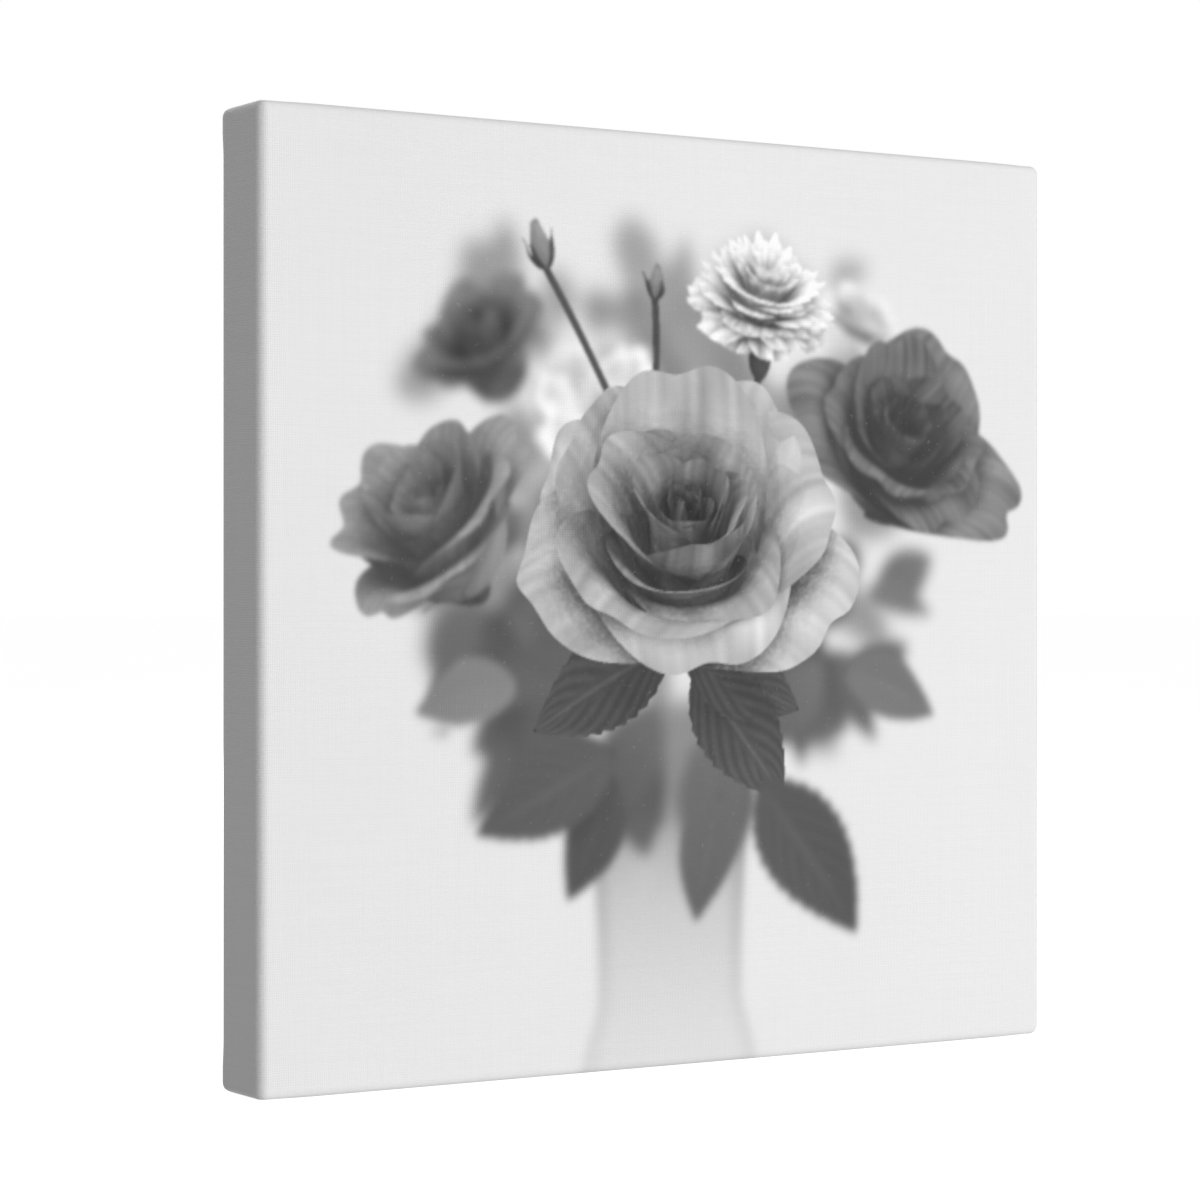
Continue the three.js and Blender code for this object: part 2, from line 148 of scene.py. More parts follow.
def petal(rng, bend, length, width, turn, cup=0.0, ruffle=0.02, waves=2.0, base=0.04,
          notch=0.0, blunt=2.6, broad=0.45, steps=72, rim_tone=0.0, streaks=0.02):
    """One petal as a grid of points with a tone. bend is its slope from upright, base to tip."""
    across = np.linspace(-1, 1, steps)[None, :]
    along = np.linspace(0, 1, steps)[:, None]
    stations = np.linspace(0, 1, PROFILE_STEPS)
    window = np.hanning(17)
    slope = np.interp(stations, (0.0, 0.33, 0.7, 1.0), bend)
    slope = np.convolve(np.pad(slope, 8, mode="edge"), window / window.sum(), "valid")
    step = length / (PROFILE_STEPS - 1)
    out_line = base + np.cumsum(np.sin(slope)) * step
    up_line = np.cumsum(np.cos(slope)) * step
    rim = (1 - np.abs(across) ** blunt) ** (1 / blunt) - notch * np.exp(-((across / 0.16) ** 2))
    s = along * np.clip(rim, 0.0, 1.1)
    out = np.interp(s, stations, out_line)
    up = np.interp(s, stations, up_line)
    half = width * (0.22 + 0.78 * np.sin(np.pi / 2 * np.clip(s / broad, 0, 1)) ** 1.3)
    phase = rng.uniform(0, TAU, 4)
    ripple = ruffle * smooth(0.35, 1.0, s) * (
        np.sin(waves * across * 2.2 + phase[0])
        + 0.6 * np.sin(waves * across * 4.7 + phase[1])
        + 0.35 * np.sin(9 * across + 7 * s + phase[2])
    )
    theta = turn + across * np.clip(half / np.maximum(out, 0.05), 0, 2.4)
    radius = out + cup * across**2 * s * length + ripple
    fan = across * (0.6 + 0.4 * s) + 0.015 * np.sin(9 * s + phase[1])
    veins = np.sin(47 * fan + phase[3]) * (0.6 + 0.4 * np.sin(5 * across + phase[2]))
    veins = veins + 0.5 * np.sin(19 * fan + phase[1] + 3 * s) + 0.4 * np.sin(71 * fan + phase[0])
    veins = veins + 0.9 * np.sin(6 * across + 8 * s + phase[0]) * np.sin(11 * s - 4 * across + phase[3])
    uneven = 0.10 * np.sin(7 * across + phase[0]) + 0.07 * np.sin(15 * across + phase[2])
    tone = streaks * veins * (0.3 + s) + rim_tone * smooth(0.25, 1.0, along + uneven)
    return np.stack([radius * np.cos(theta), radius * np.sin(theta), up + 0.6 * ripple, tone], axis=-1)


def rose(rng, petals=30, openness=1.0, rim_tone=-0.3, heart_tone=-0.15):
    """Tight and upright in the middle, cupped further out and rolled back at the outside."""
    made = []
    for k in range(petals):
        t = k / (petals - 1)
        jitter = rng.normal(0, 1, 6)
        opened = openness * t**1.35
        bend = np.radians((
            25 + 60 * t**0.7,
            -18 + 50 * opened + 5 * jitter[1],
            -14 + 60 * opened + 8 * jitter[2],
            -18 + 150 * opened + 16 * jitter[3],
        ))
        grid = petal(
            rng, bend,
            length=(0.64 + 0.42 * t**0.8) * (1 + 0.06 * jitter[4]),
            width=(0.27 + 0.42 * t**0.8) * (1 + 0.08 * jitter[5]),
            turn=k * GOLDEN_ANGLE + 0.22 * jitter[0],
            cup=0.16 * opened - 0.05, ruffle=0.008 + 0.026 * t**1.5, waves=1.2 + t,
            notch=0.02 + 0.04 * t, rim_tone=rim_tone * (1.15 - 0.3 * t), streaks=0.035,
        )
        grid[..., 3] += heart_tone * (1 - t)
        made.append(grid)
    return made


def carnation(rng, petals=64, spread=98):
    """Many short petals with ragged rims, from upright in the middle to drooping outside."""
    made = []
    for k in range(petals):
        t = k / (petals - 1)
        jitter = rng.normal(0, 1, 3)
        lean = math.radians(4 + spread * t**0.75 + 7 * jitter[1])
        made.append(petal(
            rng, (lean * 0.8, lean * 0.85, lean, lean + math.radians(35)),
            length=0.60 * (1 + 0.06 * jitter[2]), width=0.24,
            turn=k * GOLDEN_ANGLE + 0.3 * jitter[0],
            cup=0.02, ruffle=0.035, waves=4.5, blunt=4, broad=0.95, steps=30,
        ))
    return made


def blossom(rng, petals=6):
    """A small open flower of one whorl of round petals."""
    return [
        petal(rng, np.radians(62 + rng.normal(0, 8)) * BLOSSOM_LEAN + BLOSSOM_CURL, length=0.9,
              width=0.5, turn=k * TAU / petals, ruffle=0.03, notch=0.05, steps=24)
        for k in range(petals)
    ]


def bud(rng, petals=7):
    """A closed bud: a few petals wrapped round each other, inside a calyx."""
    return [
        petal(rng, np.radians((58, 4, -20, -34 + 26 * t)), length=0.92 + 0.06 * t, width=0.42,
              turn=k * GOLDEN_ANGLE, ruffle=0.006, waves=1.0, steps=36)
        for k, t in enumerate(np.linspace(0, 1, petals))
    ]


def calyx(rng, sepals=5, drop=70):
    """Narrow sepals under a flower, some of them turned down."""
    made = []
    for k in range(sepals):
        tip = drop + rng.normal(0, 25)
        made.append(petal(
            rng, np.radians((60, 30, tip, tip + 34.4)), length=0.8, width=0.10,
            turn=k * TAU / sepals, ruffle=0.01, blunt=1.3, broad=0.3, steps=24,
        ))
    return made


def leaf(rng, width, droop=0.6, fold=0.25, teeth=12, steps=48):
    """A toothed leaf along x from 0 to 1, folded at its midrib and drooping to its tip."""
    across = np.linspace(-1, 1, steps)[None, :]
    along = np.linspace(0, 1, steps)[:, None]
    outline = np.sin(np.pi * along**0.8) ** 0.9
    saw = (along * teeth) % 1.0
    half = width * outline * (1 - 0.10 * saw * np.abs(across) ** 4)
    slope = droop * along + rng.normal(0, 0.05)
    x = np.sin(slope) / droop + 0 * across
    z = (np.cos(slope) - 1) / droop + fold * half * np.abs(across)
    y = half * across + 0.03 * np.sin(3 * along + rng.uniform(0, TAU))
    ribs = np.cos(TAU * (7 * along - 3 * np.abs(across))) * smooth(0.05, 0.3, np.abs(across))
    midrib = np.exp(-((across / 0.05) ** 2))
    tone = 0.02 * ribs + 0.06 * midrib
    return [np.stack(np.broadcast_arrays(x, y, z, tone), axis=-1)]


def stem(start, knee, end, steps=40):
    """A round stem along a curve through three points."""
    t = np.linspace(0, 1, steps)[:, None]
    start, knee, end = (np.array(p, float) for p in (start, knee, end))
    line = (1 - t) ** 2 * start + 2 * t * (1 - t) * knee + t**2 * end
    ahead = unit(np.gradient(line, axis=0))
    side = unit(np.cross(ahead, (0.0, 0.0, 1.0)))
    front = np.cross(side, ahead)
    a = np.linspace(0, TAU, 12)[None, :, None]
    tube = line[:, None] + STEM * (np.cos(a) * side[:, None] + np.sin(a) * front[:, None])
    return [np.concatenate([tube, np.zeros(tube.shape[:2] + (1,))], axis=-1)]


def finer(grid, spacing):
    """The grid filled in until its points are about spacing apart, as flat rows."""
    for axis in (0, 1):
        gaps = np.abs(np.diff(grid[..., :2], axis=axis)).max(axis=-1)
        rows = grid.astype(np.float32).swapaxes(0, axis)
        times = int(np.ceil(np.percentile(gaps, 97) / spacing))
        if times > 1:
            at = np.linspace(0, len(rows) - 1, (len(rows) - 1) * times + 1, dtype=np.float32)
            low = np.minimum(at.astype(np.int32), len(rows) - 2)
            part = (at - low)[:, None, None]
            rows = rows[low] * (1 - part) + rows[low + 1] * part
        grid = rows
    return grid.reshape(-1, grid.shape[-1])


def sky(rays):
    """Directions spread evenly over the half sphere about the light."""
    i = np.arange(rays) + 0.5
    height = 1 - i / rays
    ring = np.sqrt(1 - height**2)
    a = i * GOLDEN_ANGLE
    return np.stack([ring * np.cos(a), ring * np.sin(a), height], axis=1) @ facing(SKY_LIGHT).T


def light_reaching(at, normal, blockers, rays, bias, cells=200):
    """How much of the sky's light reaches each point past the blockers."""
    normal = normal * np.where(normal[:, 2:3] < 0, -1, 1)
    low, high = blockers.min(axis=0), blockers.max(axis=0)
    middle = (low + high) / 2
    reach = np.linalg.norm(high - low) * 0.52
    total = np.zeros(len(at), np.float32)

    def cell(flat):
        xy = np.clip(((flat[:, :2] + reach) / (2 * reach) * cells).astype(np.int32), 0, cells - 1)
        return xy[:, 1] * cells + xy[:, 0]

    for direction in sky(rays):
        turn = facing(direction).astype(np.float32)
        flat = (blockers - middle) @ turn
        mine = (at - middle) @ turn
        depth = np.full(cells * cells, -np.inf, np.float32)
        np.maximum.at(depth, cell(flat), flat[:, 2])
        shade = smooth(0.5 * bias, 2.5 * bias, depth[cell(mine)] - mine[:, 2])
        facing_light = normal @ direction
        glow = np.where(facing_light > 0, facing_light, -0.5 * facing_light)
        total += glow * (1 - 0.93 * shade)
    return total / rays * 2


def blur(field, sigma):
    """A soft round blur of a picture with channels, sigma in pixels."""
    pad = int(3 * sigma) + 2
    wide = np.pad(field, ((pad, pad), (pad, pad), (0, 0)), mode="edge")
    fy = np.fft.fftfreq(wide.shape[0])[:, None, None]
    fx = np.fft.rfftfreq(wide.shape[1])[None, :, None]
    spread = np.exp(-2 * (np.pi * sigma) ** 2 * (fx**2 + fy**2))
    soft = np.fft.irfft2(np.fft.rfft2(wide, axes=(0, 1)) * spread, s=wide.shape[:2], axes=(0, 1))
    return soft[pad:-pad, pad:-pad]


class Layer:
    """Surfaces at one distance, drawn together: each pixel keeps its nearest point."""

    def __init__(self, pixels, over):
        self.pixels, self.over = pixels, over
        self.size = pixels * over
        self.depth = np.full(self.size**2, -np.inf, np.float32)
        self.facts = np.zeros((self.size**2, 7), np.float32)  # point, tone, normal
        self.blockers = []

    def add(self, white, grids, middle=(0, 0, 0), scale=1.0, direction=(0, 0, 1), spin=0.0):
        """Draws a flower turned to face a direction, scaled and moved. white is its own tone."""
        turn = facing(direction, spin).T * scale
        for grid in grids:
            grid = np.concatenate([grid[..., :3] @ turn + middle, grid[..., 3:]], axis=-1)
            edges = np.cross(np.gradient(grid[..., :3], axis=1), np.gradient(grid[..., :3], axis=0))
            full = np.concatenate([grid, unit(edges)], axis=-1)
            full[..., 3] += white
            self.blockers.append(finer(grid[..., :3], 0.004))
            rows = finer(full, 0.75 / self.size)
            cell = (rows[:, :2] * self.size).astype(np.int32)
            inside = ((cell >= 0) & (cell < self.size)).all(axis=1)
            at = cell[inside, 1] * self.size + cell[inside, 0]
            rows = rows[inside]
            nearer = rows[:, 2] > self.depth[at]
            at, rows = at[nearer], rows[nearer]
            order = np.argsort(rows[:, 2], kind="stable")
            self.depth[at[order]] = rows[order, 2]
            self.facts[at[order]] = rows[order]

    def picture(self, soft, rays, bias=0.010, bounce=0.42, most_blockers=250_000):
        """Tone times cover, and cover, over the whole face, blurred by soft pixels."""
        hit = np.isfinite(self.depth)
        facts = self.facts[hit]
        blockers = np.concatenate(self.blockers)
        rng = np.random.default_rng(PICTURE_SEED)
        blockers = blockers[rng.random(len(blockers)) < most_blockers / len(blockers)]
        reached = light_reaching(facts[:, :3], facts[:, 4:], blockers, rays, bias) ** CONTRAST
        white = np.clip(facts[:, 3], 0.02, 0.97)
        drawn = np.zeros((self.size**2, 2), np.float32)
        drawn[hit, 0] = white * reached / (1 - white * bounce * (1 - np.clip(reached, 0, 1)))
        drawn[hit, 1] = 1
        shape = (self.pixels, self.over, self.pixels, self.over, 2)
        drawn = drawn.reshape(shape).mean(axis=(1, 3))
        return blur(drawn, soft) if soft > 0.3 else drawn


def spray(rng, layer, leaves, middle, spread, sizes, white):
    """Leaves scattered over an ellipse, pointing outwards."""
    for _ in range(leaves):
        a = rng.uniform(0, TAU)
        r = math.sqrt(rng.uniform(0, 1))
        out, up = r * math.cos(a), r * math.sin(a)
        at = (middle[0] + spread[0] * out, middle[1] + spread[1] * up, rng.uniform(-0.05, 0.03))
        lean, rise = rng.normal(0, 0.3), rng.normal(0.1, 0.3)
        direction = (0.5 * math.cos(a) + lean, 0.4 * math.sin(a) + rise, 1.0)
        blade = leaf(rng, rng.uniform(0.22, 0.34))
        layer.add(white, blade, at, rng.uniform(*sizes), direction, a + rng.normal(0, 0.5))


def far_foliage(rng, layer):
    """Grey sprays of leaves behind the flowers, far out of focus."""
    for row in (
        (30, (0.38, 0.76), (0.15, 0.10), (0.07, 0.12), 0.26),
        (22, (0.66, 0.78), (0.09, 0.08), (0.06, 0.10), 0.30),
        (44, (0.50, 0.52), (0.24, 0.17), (0.09, 0.15), 0.20),
    ):
        spray(rng, layer, *row)


def back_flowers(rng, layer):
    """White blossoms, a flat white bloom and a grey rose behind the main flowers."""
    for _ in range(12):
        a = rng.uniform(0, TAU)
        at = (0.40 + 0.06 * math.cos(a), 0.70 + 0.045 * math.sin(a), rng.uniform(-0.03, 0.03))
        direction = (rng.normal(-0.1, 0.35), rng.normal(0.3, 0.35), 1.0)
        layer.add(0.95, blossom(rng), at, rng.uniform(0.030, 0.042), direction)
    grey_rose = rose(rng, 22, 0.8, -0.2, -0.1)
    layer.add(0.40, grey_rose, (0.285, 0.715, -0.05), 0.125, (-0.35, 0.75, 0.55), 0.4)
    layer.add(0.95, carnation(rng, 34, 80), (0.735, 0.785, 0), 0.095, (0.35, 0.9, 0.25))
    layer.add(0.93, carnation(rng, 30, 70), (0.235, 0.395, -0.02), 0.075, (-0.7, 0.2, 0.7))


def side_foliage(rng, layer):
    """Darker leaves round and under the roses, a little out of focus."""
    for row in (
        (28, (0.50, 0.40), (0.20, 0.09), (0.10, 0.17), 0.13),
        (12, (0.73, 0.47), (0.07, 0.09), (0.08, 0.13), 0.15),
        (12, (0.27, 0.52), (0.07, 0.08), (0.08, 0.13), 0.14),
    ):
        spray(rng, layer, *row)


def side_roses(rng, layer):
    """A dark rose on the right and a paler one lower on the left."""
    dark = rose(rng, 24, 0.95, -0.22, -0.12)
    layer.add(0.38, dark, (0.765, 0.615, 0), 0.185, (0.32, 0.62, 0.72), 0.7)
    layer.add(0.10, calyx(rng), (0.262, 0.500, -0.02), 0.11, (-0.65, 0.62, 0.20))
    paler = rose(rng, 26, 0.85, -0.24, -0.05)
    layer.add(0.56, paler, (0.250, 0.520, 0), 0.178, (-0.50, 0.66, 0.55), 2.1)


def top_flowers(rng, layer):
    """A white carnation and two closed buds on their stems."""
    root = (0.46, 0.62, -0.06)
    for tip, base, size in (
        ((0.315, 0.905, 0.02), (0.335, 0.845, 0.0), 0.060),
        ((0.475, 0.865, 0.02), (0.470, 0.82, 0.0), 0.044),
    ):
        lean = np.subtract(tip, base)
        knee = ((root[0] + base[0]) / 2 + 0.012, (root[1] + base[1]) / 2, -0.03)
        layer.add(0.08, stem(root, knee, base))
        layer.add(0.30, bud(rng), base, size, lean)
        layer.add(0.10, calyx(rng, drop=5), base, size * 0.95, lean)
    layer.add(0.08, stem((0.56, 0.60, -0.06), (0.59, 0.68, -0.03), (0.605, 0.745, -0.01)))
    head = carnation(rng, 72, 84)
    layer.add(0.97, head, (0.605, 0.795, 0), 0.145, (0.14, 0.84, 0.46))
    bend = np.radians((50, 6, 2, 18))
    for k in range(5):
        sepal = petal(rng, bend, 0.95, 0.17, k * TAU / 5, ruffle=0.0, blunt=1.8, steps=24)
        layer.add(0.14, [sepal], (0.605, 0.738, 0.004), 0.075, (0.05, 1.0, 0.1))


def front_rose(rng, layer):
    """The large open rose in the middle, in focus, with dark leaves under it."""
    for angle, size in ((3.5, 0.195), (-0.9, 0.195), (5.9, 0.18)):
        blade = leaf(rng, 0.28)
        layer.add(0.09, blade, (0.51, 0.45, -0.05), size, (0.1, 0.2, 1.0), angle)
    pale = rose(rng, 30, 1.08, -0.62, -0.30)
    layer.add(1.04, pale, (0.505, 0.475, 0), 0.268, (0.02, 0.66, 0.75), 1.3)


def low_leaves(rng, layer):
    """Large leaves hanging over the vase, nearer the camera."""
    hanging = (
        ((0.61, 0.31), 0.22, -0.95, 0.11), ((0.55, 0.29), 0.14, -1.75, 0.17),
        ((0.40, 0.33), 0.19, -2.75, 0.13), ((0.42, 0.31), 0.14, -2.05, 0.11),
        ((0.71, 0.42), 0.14, -0.25, 0.22), ((0.31, 0.41), 0.13, 3.25, 0.30),
    )
    for (x, y), size, angle, tone in hanging:
        layer.add(tone, leaf(rng, 0.27), (x, y, 0.02), size, (0.05, 0.25, 1.0), angle)


def vase(pixels):
    """A pale glass vase that fades out downwards, as tone times cover, and cover."""
    x = np.linspace(0, 1, pixels)[None, :]
    y = np.linspace(0, 1, pixels)[:, None]
    half = 0.092 + 0.010 * smooth(0.10, 0.33, y) + 0.02 * smooth(0.08, 0.0, y)
    across = (x - 0.49) / half
    fade = smooth(0.33, 0.32, y) * (0.45 + 0.55 * smooth(0.0, 0.25, y))
    cover = smooth(1.03, 0.97, np.abs(across)) * fade
    stems = 0.24 * smooth(0.16, 0.33, y) * (0.7 + 0.3 * np.sin(across * 9 + 1.3))
    edge = 0.16 * smooth(0.72, 0.98, np.abs(across))
    glass = 0.66 - stems - edge - 0.16 * (y / 0.33)
    return np.stack([glass * cover, cover], axis=-1)


def bouquet_picture(pixels, fine):
    """The whole picture as tones from 0, black, to 1, white, its first row at the bottom."""
    rng = np.random.default_rng(PICTURE_SEED)
    rays = 40 if fine else 10
    blur_unit = pixels / 600
    image = np.full((pixels, pixels), PAPER)
    layers = (
        # what is drawn, its blur, its sharpness, its exposure and how far the haze hides it
        (far_foliage, 6.5, 1, 1.0, 0.22),
        (back_flowers, 3.2, 1, 1.25, 0.0),
        (vase, 3.0, 1, 1.0, 0.0),
        (side_foliage, 4.5, 1, 1.0, 0.06),
        (side_roses, 1.3, 2, 1.12, 0.03),
        (top_flowers, 0.9, 2, 1.22, 0.0),
        (front_rose, 0.4, 2, 1.30, 0.0),
        (low_leaves, 2.6, 1, 0.9, 0.0),
    )
    for draw, soft, over, exposure, haze in layers:
        if draw is vase:
            drawn = blur(vase(pixels), soft * blur_unit)
        else:
            layer = Layer(pixels, over if fine else 1)
            draw(rng, layer)
            drawn = layer.picture(soft * blur_unit, rays)
        tone = exposure * drawn[..., 0] * (1 - haze) + drawn[..., 1] * haze * PAPER
        image = image * (1 - drawn[..., 1]) + tone
    return np.clip(image, 0.0, BRIGHTEST)


# ---- the cloth's shape --------------------------------------------------------------------------
# The cloth is worked out on a box with sharp edges and then laid round one with rounded edges.
# A column runs back from one point of the face's rim, over the side and onto the back flap. At the
# two ends of the top and bottom, columns of their own form a flat fold of three layers.


def tuck_path(grown):
    """The fold's middle line and facing, seen from its edge, at each share of its whole size.

    Each row gives the distance along the side, the height, and the direction that the cloth's
    outer face looks to. It starts at the corner on the top layer and ends on the lowest one.
    """
    radius = LAYER_STEP / 2
    run = np.linspace(0, 1, RUN_POINTS)
    turn = np.linspace(0, np.pi, TURN_POINTS + 2)[1:-1]
    zero, one = np.zeros(RUN_POINTS), np.ones(RUN_POINTS)
    top = (run * (TUCK_WIDTH - radius), zero, zero, one)
    first_turn = (
        TUCK_WIDTH - radius + radius * np.sin(turn), radius * (np.cos(turn) - 1),
        np.sin(turn), np.cos(turn),
    )
    back = TUCK_WIDTH - radius + run * (TUCK_START + 2 * radius - TUCK_WIDTH)
    under = (back, zero - LAYER_STEP, zero, -one)
    second_turn = (
        TUCK_START + radius - radius * np.sin(turn), radius * (np.cos(turn) - 1) - LAYER_STEP,
        np.sin(turn), -np.cos(turn),
    )
    last = ([TUCK_START + radius], [-2 * LAYER_STEP], [0.0], [1.0])
    along, height, lean, out = np.concatenate([top, first_turn, under, second_turn, last], axis=1)
    open_up = np.minimum(1, 4 * grown)
    return along * grown, height * grown, lean * open_up, 1 - (1 - out) * open_up


def rim_columns():
    """The columns round the rim: for each its side, its distance along that side, its place in a
    fold or -1, whether it is at the side's end, and the point of the face that it starts from."""
    inner = np.arange(1, CELLS)
    tuck = np.arange(tuck_path(np.ones(1))[0].size)
    pitch = SIDE / CELLS
    rows = []
    for side in range(4):
        folded = side % 2 == 1
        if folded:
            rows += [(side, 0.0, k, 0, 0) for k in tuck]
        rows += [(side, k * pitch, -1, 0, k) for k in inner]
        if folded:
            rows += [(side, SIDE, k, 1, CELLS) for k in tuck[::-1]]
    side, along, fold, at_end, step = (np.array(values) for values in zip(*rows))
    i = np.choose(side, (0 * step, step, CELLS + 0 * step, CELLS - step))
    j = np.choose(side, (step, CELLS + 0 * step, CELLS - step, 0 * step))
    return {"side": side, "along": along, "fold": fold, "at_end": at_end, "start": j * (CELLS + 1) + i}


def rim_rows():
    """How far back each row of the rim lies on the side, and how far in on the flap."""
    middle = np.linspace(EDGE_ROUND, DEPTH - EDGE_ROUND, SIDE_ROWS + 1)[1:]
    side = np.concatenate([ROUND_ROWS, middle, DEPTH - ROUND_ROWS[-2::-1]])
    flap = np.concatenate([ROUND_ROWS, np.linspace(EDGE_ROUND, FLAP, FLAP_ROWS + 1)[1:]])
    back = np.concatenate([side, np.full(len(flap), DEPTH)])
    inward = np.concatenate([np.zeros(len(side)), flap])
    return back[:, None], inward[:, None]


def cut_length(along):
    """The flap's length at a place on the rim: the cut edge wanders a little."""
    wander = sum(share * np.sin(along / length + start) for length, share, start in CUT_WAVES)
    return FLAP + FLAP_WOBBLE * wander / sum(share for _, share, _ in CUT_WAVES)


def lay_round(sharp, height):
    """Points of the sharp-edged box moved onto the rounded one, and raised by height."""
    low, high = cloth_low + EDGE_ROUND, cloth_high - EDGE_ROUND
    core = np.clip(sharp, low, high)
    return core + unit(sharp - core) * (EDGE_ROUND + height)[..., None]


def on_side(side, along, back, inward):
    """The sharp-edged box's points for places on the four sides and their flaps."""
    left, right, low, high = cloth_low[0], cloth_high[0], cloth_low[2], cloth_high[2]
    x = np.choose(side, (left + inward, left + along, right - inward, right - along))
    z = np.choose(side, (low + along, high - inward, high - along, low + inward))
    return np.stack([x, FRONT_Y + back + 0 * x, z], axis=-1)


def staple_puckers(points):
    """How far the cloth rises beside each staple that pulls it down."""
    rise = np.zeros(points.shape[:-1])
    for name in (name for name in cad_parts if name.startswith("staple_")):
        low, high = (np.array(corner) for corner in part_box(name))
        middle = (low + high) / 2
        across_x, across_z = high[0] - low[0], high[2] - low[2]
        if name.endswith("_fold"):
            slope = 1.0 if name in ("staple_top_left_fold", "staple_bottom_right_fold") else -1.0
            ahead = np.array((1.0, slope)) / math.sqrt(2)
            half = across_x / math.sqrt(2)
        else:
            ahead = np.array((1.0, 0.0) if across_x > across_z else (0.0, 1.0))
            half = max(across_x, across_z) / 2
        offset = points[..., [0, 2]] - middle[[0, 2]]
        along = np.abs(offset @ ahead)
        beside = np.abs(offset @ np.array((-ahead[1], ahead[0])))
        ends = 1 - smooth(half - 1 * MM, half + 1.2 * MM, along)
        ridge = PUCKER * np.exp(-(((beside - PUCKER_AWAY) / PUCKER_WIDTH) ** 2))
        seat = PUCKER_SEAT * (1 - smooth(PUCKER_AWAY, PUCKER_REACH, beside))
        rise += (ridge + seat) * ends
    return rise


def rim_points(columns):
    """The outer and inner points of the rim's columns, and their places on the flat cloth."""
    back, inward = rim_rows()
    names = ("side", "along", "fold", "at_end")
    side, along, fold, at_end = (columns[name][None, :] for name in names)
    grown = smooth(0, TUCK_GROWS, back)
    cut = cut_length(along + SIDE * side + LAYER_STEP * np.maximum(fold, 0))
    stretch = (cut - EDGE_ROUND) / (FLAP - EDGE_ROUND)
    longer = EDGE_ROUND + (inward - EDGE_ROUND) * stretch
    inward = np.where(inward > EDGE_ROUND, longer, inward)
    folded_side = side % 2 == 1

    # Plain columns, drawn in beside the corners
    corner = np.minimum(along, SIDE - along)
    starts = inward + np.where(folded_side, grown * (TUCK_START + LAYER_STEP / 2), 0)
    drawn_in = np.where(corner < SQUEEZED, starts + corner * (SQUEEZED - starts) / SQUEEZED, corner)
    sunk = 2 * LAYER_STEP * grown * (1 - smooth(*SUNK_UNTIL, drawn_in - inward))
    height = np.where(folded_side, -sunk, 0)
    lean = np.zeros(height.shape)
    out = np.ones(height.shape)

    # Columns in a fold
    in_fold = np.flatnonzero(columns["fold"] >= 0)
    path = [part[:, columns["fold"][in_fold]] for part in tuck_path(grown)]
    drawn_in[:, in_fold] = inward[:, in_fold] + path[0]
    height[:, in_fold], lean[:, in_fold], out[:, in_fold] = path[1:]

    # The thick corner stands higher on the back, and the flap lifts a little between staples
    on_back = smooth(DEPTH - EDGE_ROUND, DEPTH + 1 * MM, back + inward)
    near_tuck = 1 - smooth(*THICK_UNTIL, drawn_in - inward)
    height = height + TUCK_LIFT * on_back * near_tuck
    between = np.sin(np.pi * (along - SIDE / 2) / STAPLE_PITCH) ** 2
    between = between * smooth(SQUEEZED, 2 * SQUEEZED, corner)
    height = height + FLAP_LIFT * between * smooth(FLAP_LIFT_FROM, FLAP, inward)
    height = height - CLOTH_THICK / 2

    from_end = (along > SIDE / 2) | (at_end == 1)
    shift = np.where(from_end, -1, 1)
    distance = np.where(from_end, SIDE - drawn_in, drawn_in)
    surfaces = []
    for face in (1, -1):
        half = face * CLOTH_THICK / 2
        sharp = on_side(side, distance + shift * lean * half, back, inward)
        rise = staple_puckers(sharp) * (inward > 0)
        surfaces.append(lay_round(sharp, height + out * half + rise))

    # Places on the flat cloth. The fold's top layer is cut from the same piece as the next side
    beyond = back + inward
    to_go = drawn_in - inward - grown * (TUCK_START + LAYER_STEP / 2)
    plain = np.where(fold < 0, along, np.where(at_end == 1, SIDE + to_go, -to_go))
    neighbour = (fold >= 0) & (fold < RUN_POINTS + TURN_POINTS)
    half_side = SIDE / 2
    run = np.where(neighbour, beyond + half_side, plain - half_side)
    off = np.where(neighbour, half_side + (drawn_in - inward), half_side + beyond)
    run = np.where(neighbour, np.where(at_end == 1, run, -run), run)
    flat = np.stack([
        np.choose(side, (-off, run, off, -run)),
        np.choose(side, (run, off, -run, -off)),
    ], axis=-1)
    return surfaces[0], surfaces[1], flat


def face_points():
    """The face's outer and inner points, and their places on the flat cloth, in rows upwards."""
    line = np.linspace(-SIDE / 2, SIDE / 2, CELLS + 1)
    x, z = np.meshgrid(line, line)
    sharp = np.stack([x, np.full(x.shape, FRONT_Y), z + MIDDLE_Z], axis=-1)
    hollow = SAG * (1 - (2 * x / SIDE) ** 2) * (1 - (2 * z / SIDE) ** 2)
    outer = lay_round(sharp, -hollow)
    inner = lay_round(sharp, -hollow - CLOTH_THICK)
    return outer, inner, np.stack([x, z], axis=-1)


def quads(index):
    """The four corners of each cell of a grid of point numbers."""
    cells = np.stack([index[:-1, :-1], index[:-1, 1:], index[1:, 1:], index[1:, :-1]], axis=-1)
    return cells.reshape(-1, 4)


def without_doubles(cells):
    """Cells as lists, with the ones that have a corner twice made triangles."""
    good = (cells != np.roll(cells, 1, axis=1)).all(axis=1)
    triangles = [list(dict.fromkeys(cell)) for cell in cells[~good].tolist()]
    return cells[good], [t for t in triangles if len(t) == 3]


def shell_cells(grid, start, rim):
    """The cells of a grid of point numbers and of a rim, and the rim's last row. start names the
    grid's point that each column of the rim hangs from."""
    closed = np.concatenate([start[None, :], rim])
    closed = np.concatenate([closed, closed[:, :1]], axis=1)
    return np.concatenate([quads(grid), quads(closed)]), rim[-1]


